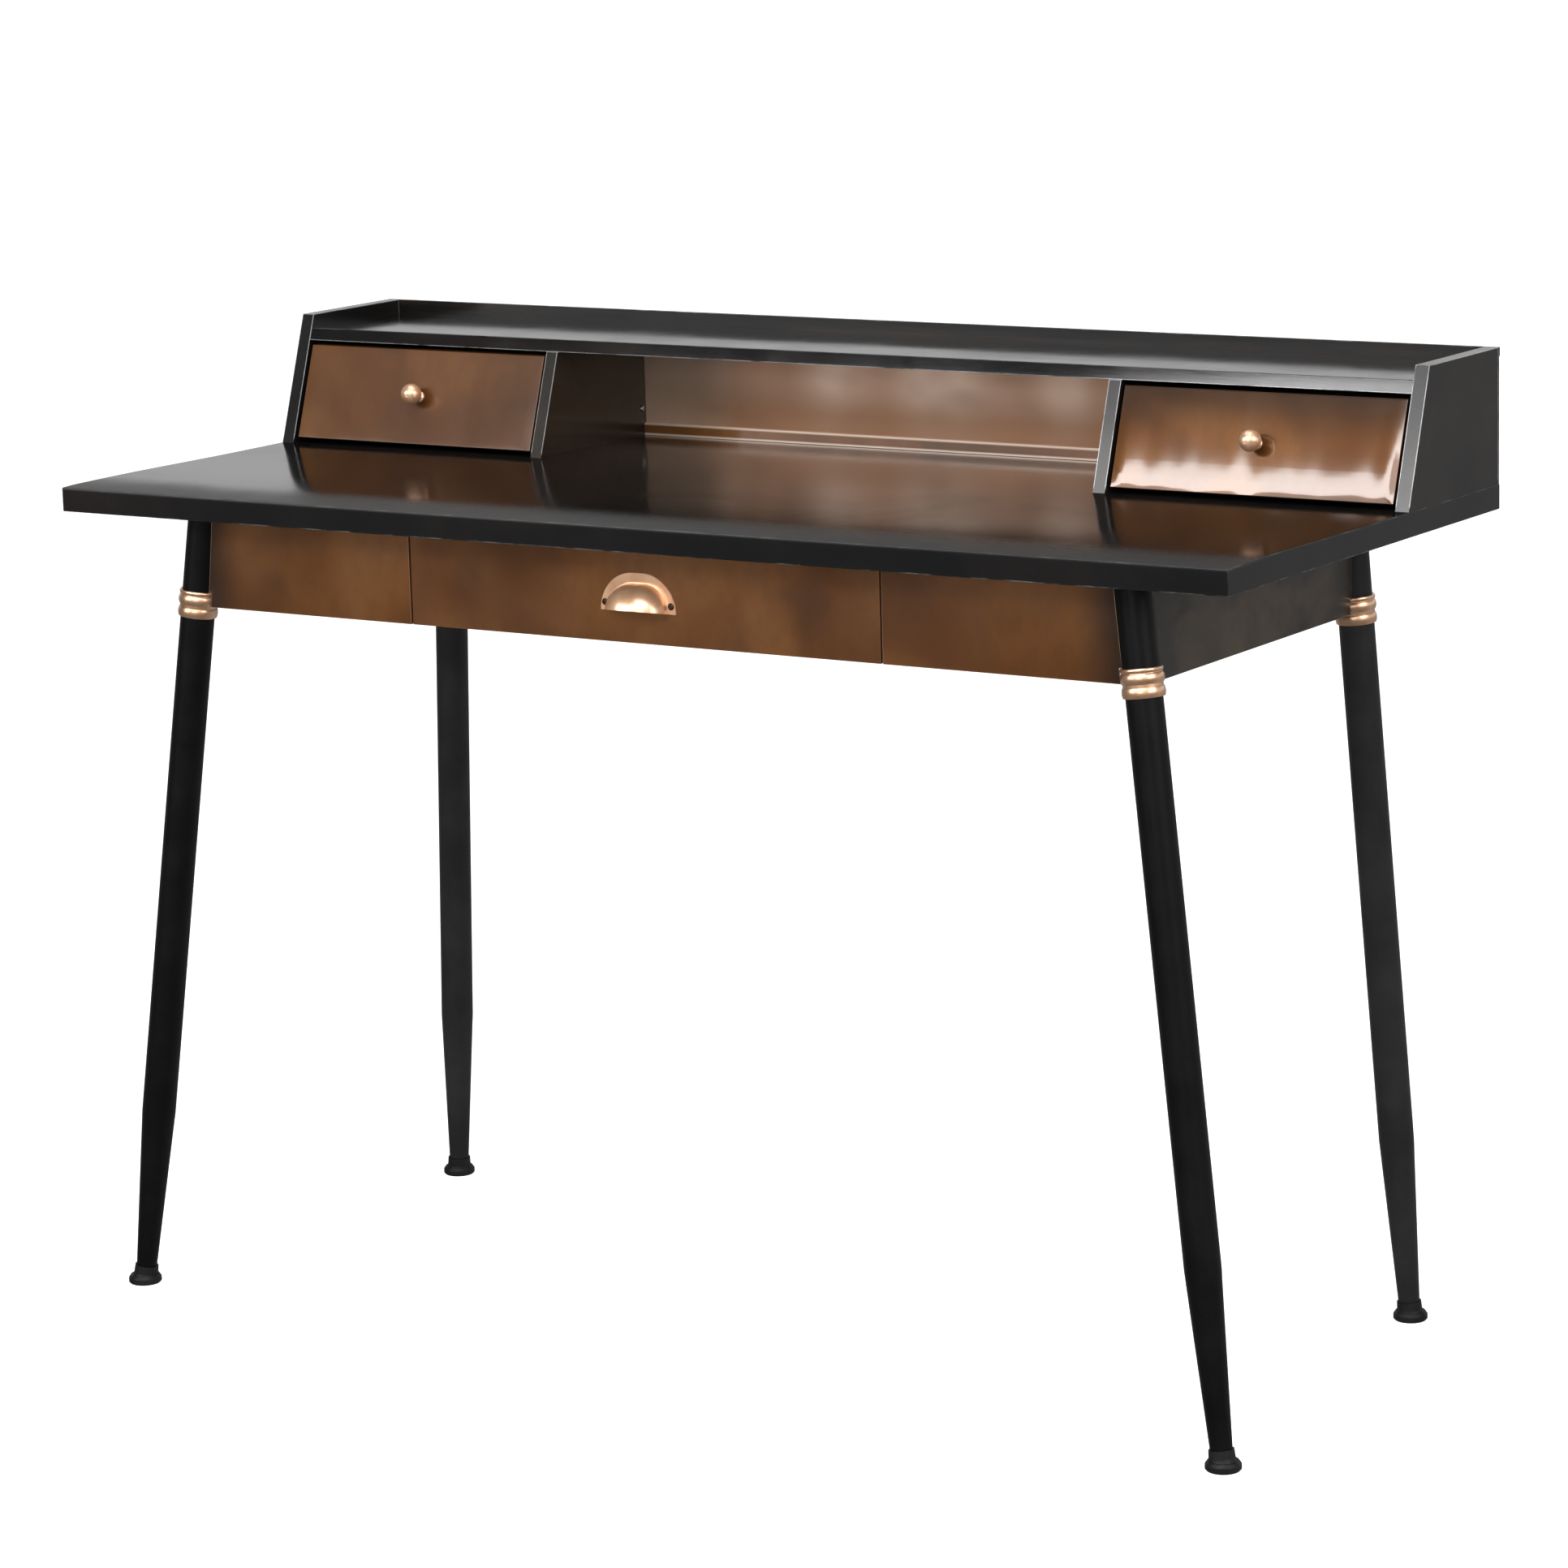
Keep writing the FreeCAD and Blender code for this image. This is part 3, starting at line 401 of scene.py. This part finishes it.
finishes = {
    "black_lacquer": lacquer(),
    "dark_steel": dark_steel(),
    "copper_patina": copper("copper_patina"),
    "drawer_steel": powder_coat("drawer_steel", 0.022, 0.42, 0.55),
    "slide_steel": plated(),
    "rose_gold": rose_gold(),
    "rivet_steel": plated("rivet_steel", (0.25, 0.25, 0.26), (0.5, 0.5, 0.52)),
    "leg_black": powder_coat("leg_black", 0.0014),
    "foot_plastic": plastic("foot_plastic", (0.0040,) * 3, (0.0085,) * 3),
    "nylon": plastic("nylon", (0.62, 0.60, 0.55), (0.76, 0.74, 0.69)),
    "board": fibreboard(),
}
slots = {part["node"]: part["material_slot"] for part in frame["record"]["subparts"]}
bodies = frame["record"]["behaviour"]["bodies"]
body_of = {name: body for body, names in bodies.items() for name in names}


def dress(piece, finish):
    """Gives every material slot of a piece this finish."""
    if not piece.material_slots:
        piece.data.materials.append(finish)
    for held in piece.material_slots:
        held.link = "OBJECT"
        held.material = finish


# ---- CAD pieces that stay: softened edges ------------------------------------------------
SAME_FACE = math.radians(0.05)    # neighbouring facets that differ by less are one flat face
SHARP_EDGE = math.radians(35)


def soften(piece, width):
    """Joins a CAD piece's flat facets, rounds its sharp edges by width metres and evens its
    shading."""
    weld = piece.modifiers.new("weld", "WELD")
    weld.merge_threshold = 0.01 * MM
    whole = piece.modifiers.new("whole_faces", "DECIMATE")
    whole.decimate_type = "DISSOLVE"
    whole.angle_limit = SAME_FACE
    bevel = piece.modifiers.new("soft_edges", "BEVEL")
    bevel.width = width
    bevel.segments = 2
    bevel.limit_method = "ANGLE"
    bevel.angle_limit = SHARP_EDGE
    bevel.miter_outer = "MITER_ARC"
    bevel.use_clamp_overlap = True
    bevel.face_strength_mode = "FSTR_ALL"
    smooth = piece.modifiers.new("even_shading", "WEIGHTED_NORMAL")
    smooth.keep_sharp = True
    smooth.use_face_influence = True


# ---- sheet-metal pieces that replace CAD nodes ---------------------------------------------
def ease(value, low, high):
    """Smooth step from 0 at low to 1 at high."""
    t = min(1.0, max(0.0, (value - low) / (high - low)))
    return t * t * (3 - 2 * t)


def cut_up(bm, axis, low, high, cell):
    """Cuts all faces by evenly spaced planes across one axis."""
    count = max(1, round((high - low) / cell))
    direction = Vector((0, 0, 0))
    direction[axis] = 1
    for step in range(1, count):
        at = Vector((0, 0, 0))
        at[axis] = low + (high - low) * step / count
        everything = bm.verts[:] + bm.edges[:] + bm.faces[:]
        bmesh.ops.bisect_plane(bm, geom=everything, plane_co=at, plane_no=direction, dist=1e-6)


def worked_sheet(name, cell, fold, shape, finish):
    """Replaces a sheet-metal node by the same sheet with rounded folds, bent by shape.

    Its faces are cut into a grid of about cell metres; fold is how far from its edge a fold
    starts to round off."""
    low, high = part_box(name)
    bm = bmesh.new()
    bm.from_mesh(nodes[name].data)
    bmesh.ops.remove_doubles(bm, verts=bm.verts[:], dist=0.01 * MM)
    bmesh.ops.dissolve_limit(bm, angle_limit=math.radians(1), verts=bm.verts[:],
                             edges=bm.edges[:])
    folds = [e for e in bm.edges if len(e.link_faces) == 2
             and e.calc_face_angle(0) > math.radians(25) and e.calc_length() > 5 * MM]
    bmesh.ops.bevel(bm, geom=folds, offset=fold, segments=3, profile=0.5, affect="EDGES",
                    clamp_overlap=False)
    for axis in range(3):
        if high[axis] - low[axis] > 3 * cell:
            cut_up(bm, axis, low[axis], high[axis], cell)
    bmesh.ops.dissolve_degenerate(bm, dist=0.001 * MM, edges=bm.edges[:])
    bm.normal_update()
    moves = [(v, shape(v.co, v.normal, low, high)) for v in bm.verts]
    for v, move in moves:
        v.co += move
    bmesh.ops.triangulate(bm, faces=[f for f in bm.faces if len(f.verts) > 4])
    mesh = bpy.data.meshes.new(name + "_sheet")
    bm.to_mesh(mesh)
    bm.free()
    for polygon in mesh.polygons:
        polygon.use_smooth = True
    piece = bpy.data.objects.new(name + "_sheet", mesh)
    bpy.context.scene.collection.objects.link(piece)
    smooth = piece.modifiers.new("even_shading", "WEIGHTED_NORMAL")
    smooth.keep_sharp = True
    dress(piece, finish)
    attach(piece, body_of[name])
    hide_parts(name)


def ripple(point, size, seed):
    """Gentle unevenness of hand-worked sheet, from about -1 to 1."""
    shift = Vector((seed, -seed, 2 * seed))
    return noise.noise(point / size + shift)


CROWN = 1.1 * MM          # the top stands up this much, a hand's width behind its front edge
CROWN_ROLL = 22 * MM      # its front rolls over in this distance
CROWN_RISE = 85 * MM      # it is highest here
CROWN_FALL = 260 * MM     # and flat again here
UPPER_FACE = 1.5 * MM     # vertices this near the top's height belong to its upper sheet
UPPER_SKIN = 0.9 * MM     # and in this much of it only the outer face does
WAVES = ((0.32 * MM, 0.26, 3.1), (0.10 * MM, 0.11, 8.4))    # each wave's height, size and seed


def crown(distance):
    """How far the top stands above flat at this distance from its front edge."""
    roll = 1 - (1 - min(1.0, distance / CROWN_ROLL)) ** 2
    rise = 0.65 * roll + 0.35 * ease(distance, 0, CROWN_RISE)
    return CROWN * rise * (1 - ease(distance, CROWN_RISE, CROWN_FALL))


def desktop_shape(point, normal, low, high):
    """The top is slightly uneven and stands up a little behind its front edge."""
    inner_face = point.z > high.z - UPPER_SKIN and normal.z < -0.5
    if point.z < high.z - UPPER_FACE or inner_face:
        return Vector((0, 0, 0))
    inside_x = min(point.x - low.x, high.x - point.x)
    inside_y = min(point.y - low.y, high.y - point.y)
    fade = ease(min(inside_x, inside_y), 0, 60 * MM)
    wave = sum(tall * ripple(point, size, seed) for tall, size, seed in WAVES)
    return Vector((0, 0, fade * wave + crown(point.y - low.y)))


SCALLOP_SIZES = (46 * MM, 19 * MM)    # widths of the broad and the fine scallops
BULGE_SKEW = 0.52                     # puts the bulge's crest a quarter of the way up
SCALLOP_SKEW = 0.42                   # and the scallops' a fifth of the way up


def drawer_shape(out, depth, seed, sizes=(0.11, 0.05), bulge=0.0, scallop=0.0):
    """Front face of a sheet: ripples of that depth and a low bulge along the direction out.

    scallop is how unevenly the bulge runs from side to side, as a share of it."""

    def shape(point, normal, low, high):
        if normal.dot(out) < 0.95:
            return Vector((0, 0, 0))
        side = min(point.x - low.x, high.x - point.x)
        inside = min(side, point.z - low.z, high.z - point.z)
        wave = ripple(point, sizes[0], seed) + 0.4 * ripple(point, sizes[1], seed + 4)
        up = min(1.0, max(0.0, (point.z - low.z) / (high.z - low.z)))
        broad, fine = SCALLOP_SIZES
        swing = noise.noise(Vector((point.x / broad, seed, 0)))
        swing += 0.35 * noise.noise(Vector((point.x / fine, 2 * seed, 0)))
        dome = math.sin(math.pi * up ** BULGE_SKEW)
        dome += scallop * swing * math.sin(math.pi * up ** SCALLOP_SKEW)
        rippled = depth * wave * ease(inside, 0, 14 * MM)
        return out * (rippled + bulge * dome * ease(side, 0, 10 * MM))

    return shape


SHELF_LEAN = 0.30 * MM    # the lip's top edge leans in this much at its right end
SHELF_LIP = 1.2 * MM      # vertices this near the shelf's front belong to its lip


def shelf_shape(point, normal, low, high):
    """The shelf's top sheet is slightly uneven; its front lip leans in towards the right end."""
    if point.y < low.y + SHELF_LIP:
        share = ease(point.x, 0.15 * high.x, high.x) * (high.z - point.z) / (high.z - low.z)
        return Vector((0, SHELF_LEAN * share, 0))
    if normal.z < 0.95:
        return Vector((0, 0, 0))
    inside = min(point.x - low.x, high.x - point.x, point.y - low.y, high.y - point.y)
    return Vector((0, 0, ease(inside, 0, 40 * MM) * ripple(point, 0.22, 5.7) * 0.5 * MM))


def raked(name):
    """Outward direction of a drawer front that leans back, from its own mesh."""
    best = max(nodes[name].data.polygons, key=lambda p: p.area * (p.normal.y < -0.5))
    return best.normal.copy()


front = Vector((0, -1, 0))
# Dark tone of the painted shade beside the legs and on the right front's upper half; the left
# front's darker end takes it too.
SHADE_TONE = (0.014, 0.0075, 0.004)
# Pale tone of the painted highlight lines along the ledge's two long edges.
HIGHLIGHT_TONE = (0.80, 0.62, 0.50)
desk_low, desk_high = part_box("desktop_shell")
desktop_finish = lacquer("desktop_lacquer", streaks=0.02, haze_y=desk_low.y + 85 * MM,
                         haze_z=desk_high.z)
worked_sheet("desktop_shell", 12 * MM, 0.7 * MM, desktop_shape, desktop_finish)
shelf_finish = lacquer("shelf_lacquer", worn_and_lit=0.8, cover=0.30, streaks=0.03, dull=-0.02, streak_reflection=0.2)
worked_sheet("hutch_shelf", 12 * MM, 0.5 * MM, shelf_shape, shelf_finish)
worked_sheet("centre_drawer_front", 8 * MM, 0.45 * MM, drawer_shape(front, 0.16 * MM, 1.3),
             copper("copper_centre", (2, 0, 1)))

# The left front is darker at its outer end; the right one is darker along its upper half, painted
# shade.
dark_end = ("X", -450 * MM, -300 * MM, 0.35, SHADE_TONE)
right_low, right_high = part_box("small_drawer_front_right")
shade_from = right_low.z + 0.45 * (right_high.z - right_low.z)
painted_shade_top = ("Z", shade_from, right_high.z, 0.8, SHADE_TONE)
small_fronts = {
    "small_drawer_front_left": (
        {"depth": 0.12 * MM, "seed": 2.2, "bulge": 0.25 * MM},
        copper("copper_left", (4, 3, 2), 0.285, 0.40, coat=0.2, worn_and_lit=0.8, soot=0.7,
               fades=(dark_end,))),
    "small_drawer_front_right": (
        {"depth": 0.10 * MM, "seed": 5.9, "bulge": 0.85 * MM},
        copper("copper_right", (1, 6, 3), 0.285, 0.34, metal=0.5, coat=1.0, worn_and_lit=0.8, soot=0.3,
               shine=0.1, coat_ior=1.6, fades=(painted_shade_top,))),
}
for name, (bends, finish) in small_fronts.items():
    shape = drawer_shape(raked(name), scallop=1.2, **bends)
    worked_sheet(name, 4 * MM, 0.45 * MM, shape, finish)
worked_sheet("compartment_back", 6 * MM, 0.2 * MM,
             drawer_shape(front, 0.5 * MM, 4.4, (0.13, 0.05)), lining())

seam_z = desk_high.z + 2 * MM
# The hutch sides' folds are fully lightened, partly rubbed-through lacquer and partly painted
# highlight.
rubbed = lacquer("rubbed_and_highlight_lacquer", worn_and_lit=1.0, cover=0.22, dull=0.05, brown=0.6, seam_z=seam_z)
# The dividers' full brown cast is partly their own tint, partly a painted reflection of the copper
# back; their folds are lightened like the sides'.
brown = lacquer("brown_cast_and_reflection_lacquer", worn_and_lit=1.0, cover=0.22, dull=0.05, brown=1.0, seam_z=seam_z)
gallery = lacquer("gallery_lacquer", streaks=0.11, streak_reflection=0.35, dull=0.03, shine=0.3)
collar_gold = rose_gold("collar_gold", 0.95)
# The rear legs and their stubs take a lighter black than the front legs: painted light.
lit_rear_coat = powder_coat("leg_rear_painted_light", 0.0090)
special = {"hutch_back": gallery}
for start, finish in (("hutch_side", rubbed), ("hutch_divider", brown),
                      ("leg_collar", collar_gold), ("leg_rear", lit_rear_coat), ("leg_stub_rear", lit_rear_coat)):
    special.update({name: finish for name in nodes if name.startswith(start)})

LINE = 1 * MM    # how softly the ledge's painted highlight lines begin, from its two long edges
ledge_low, ledge_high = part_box("compartment_ledge")
painted_highlight_lines = (("Z", ledge_high.z - 3 * LINE, ledge_high.z - LINE, 0.9, HIGHLIGHT_TONE),
                ("Z", ledge_low.z + 3 * LINE, ledge_low.z + LINE, 0.9, HIGHLIGHT_TONE))
# The ledge is painted 1.7 times lighter: painted light against the shade inside the compartment.
special["compartment_ledge"] = copper("copper_ledge", (3, 3, 3), 0.285, 0.36, metal=0.4,
                                      tint=1.7, coat=1.0, fades=painted_highlight_lines)
special["cup_pull_screws"] = plated("dark_screws", (0.05, 0.035, 0.025), (0.12, 0.09, 0.065))

# The apron's fronts darken over the last 50 mm beside the legs: painted shade and a painted
# reflection of the dark legs.
for name, end in (("apron_front_left", 0), ("apron_front_right", 1)):
    leg_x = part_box(name)[end].x
    inner_x = leg_x + (1 - 2 * end) * 50 * MM
    special[name] = copper("copper_" + name, fades=(("X", inner_x, leg_x, 0.85, SHADE_TONE),))

EDGE_RADII = {"rose_gold": 0.25 * MM, "black_lacquer": 0.5 * MM, "dark_steel": 0.5 * MM,
              "copper_patina": 0.45 * MM, "foot_plastic": 0.6 * MM}
OTHER_RADIUS = 0.3 * MM
for name, piece in nodes.items():
    dress(piece, special.get(name, finishes[slots[name]]))
    if not piece.hide_render:
        soften(piece, EDGE_RADII.get(slots[name], OTHER_RADIUS))


# ---- studio --------------------------------------------------------------------------
FLOOR_R = 60.0
bm = bmesh.new()
bmesh.ops.create_circle(bm, cap_ends=True, segments=96, radius=FLOOR_R)
floor_mesh = bpy.data.meshes.new("floor")
bm.to_mesh(floor_mesh)
bm.free()
floor = bpy.data.objects.new("floor", floor_mesh)
bpy.context.scene.collection.objects.link(floor)
floor.location.z = cad_low.z
floor.visible_glossy = False


def paper_colour(tree):
    """Nearly even pale grey."""
    return mix(tree, cloud(tree, place(tree), 2, 3), (0.80,) * 3, (0.82,) * 3)


paper = material("paper", paper_colour, 0.0, 0.9, None, specular_ior_level=0.0,
                 emission_color=(1, 1, 1, 1), emission_strength=0.85)
floor_mesh.materials.append(paper)

world = bpy.data.worlds.new("studio")
bpy.context.scene.world = world
world.use_nodes = True
tree = world.node_tree
tree.nodes.clear()
# Reflections see a pale screen low behind the desk and a pale room on its right; the camera
# sees plain white.
SCREEN_GREY, ROOM_GREY, BEHIND_GREY, DIM_GREY = 0.45, 0.8, 0.15, 0.12
outwards = node(tree, "TexCoord").outputs["Generated"]
way = node(tree, "SeparateXYZ", {"Vector": outwards}).outputs
behind = spread(tree, way["Y"], -0.2, 0.5)
above_floor = spread(tree, way["Z"], -0.06, 0.08)
under_top = spread(tree, way["Z"], 0.19, 0.40, 1.0, 0.0)
screen = calc(tree, "MULTIPLY", calc(tree, "MULTIPLY", above_floor, under_top), behind)
room = calc(tree, "MULTIPLY", spread(tree, way["X"], -0.35, 0.0), spread(tree, way["Z"], 0.0, 0.16))
room = calc(tree, "MULTIPLY", room, calc(tree, "SUBTRACT", 1.0, behind))
grey = DIM_GREY
for part, amount in ((behind, BEHIND_GREY), (screen, SCREEN_GREY), (room, ROOM_GREY)):
    grey = calc(tree, "ADD", grey, calc(tree, "MULTIPLY", part, amount))
seen = node(tree, "LightPath").outputs["Is Camera Ray"]
level = node(tree, "Mix", {"Factor": seen, "A": grey, "B": 1.0}).outputs["Result"]
backing = node(tree, "Background", {"Color": (1, 1, 1, 1), "Strength": level})
out = tree.nodes.new("ShaderNodeOutputWorld")
tree.links.new(backing.outputs[0], out.inputs["Surface"])


def facing(direction, roll):
    """Rotation that looks along direction, upright and then turned by roll."""
    upright = direction.to_track_quat("-Z", "Y").to_matrix()
    return (upright @ Matrix.Rotation(roll, 3, "Z")).to_quaternion()


AIM = Vector((0, 0, 0.8))    # just above the desk's top


def softbox(name, azimuth, elevation, distance, width, height, radiance, roll):
    """Soft area light turned towards AIM; azimuth 0 is in front, + to the left."""
    a, e = math.radians(azimuth), math.radians(elevation)
    towards = Vector((-math.sin(a) * math.cos(e), -math.cos(a) * math.cos(e), math.sin(e)))
    data = bpy.data.lights.new(name, "AREA")
    data.shape = "RECTANGLE"
    data.size = width
    data.size_y = height
    data.energy = radiance * width * height * math.pi
    lamp = bpy.data.objects.new(name, data)
    lamp.location = AIM + towards * distance
    lamp.rotation_mode = "QUATERNION"
    lamp.rotation_quaternion = facing(-towards, math.radians(roll))
    lamp.visible_camera = False
    bpy.context.scene.collection.objects.link(lamp)


LIGHTS = (  # name, azimuth, elevation, distance, width, height, radiance, roll
    ("strip", 22.5, 23, 5.4, 2.7, 0.8, 12.0, 17),
    ("low_fill", 30, 10, 5.0, 2.8, 1.5, 2.5, 0),
    ("low_right", -14, 9, 4.6, 2.2, 1.2, 2.0, 0),
    ("key", -20, 36, 3.4, 2.8, 1.8, 3.4, 0),
    ("side", -75, 18, 4.0, 2.4, 2.0, 2.5, 0),
    ("overhead", 0, 85, 2.6, 2.6, 1.8, 1.2, 0),
)
for light in LIGHTS:
    softbox(*light)

# ---- camera --------------------------------------------------------------------------
AZIMUTH = math.radians(32.738)
ELEVATION = math.radians(11.444)
ROLL = math.radians(-1.536)
DISTANCE = 4.6
LENS = 118.62
MIDDLE_SHIFT = Vector((48, -54.8, 62.1)) * MM     # from the desk's middle to the picture's
middle = (cad_low + cad_high) / 2 + MIDDLE_SHIFT
back = Vector((math.sin(AZIMUTH) * math.cos(ELEVATION),
               -math.cos(AZIMUTH) * math.cos(ELEVATION), math.sin(ELEVATION)))
camera_data = bpy.data.cameras.new("camera")
camera_data.sensor_width = 36.0
camera_data.lens = LENS
camera = bpy.data.objects.new("camera", camera_data)
camera.rotation_mode = "QUATERNION"
camera.location = middle + back * DISTANCE
camera.rotation_quaternion = facing(-back, ROLL)
bpy.context.scene.collection.objects.link(camera)
bpy.context.scene.camera = camera
bpy.context.scene.view_settings.view_transform = "Standard"
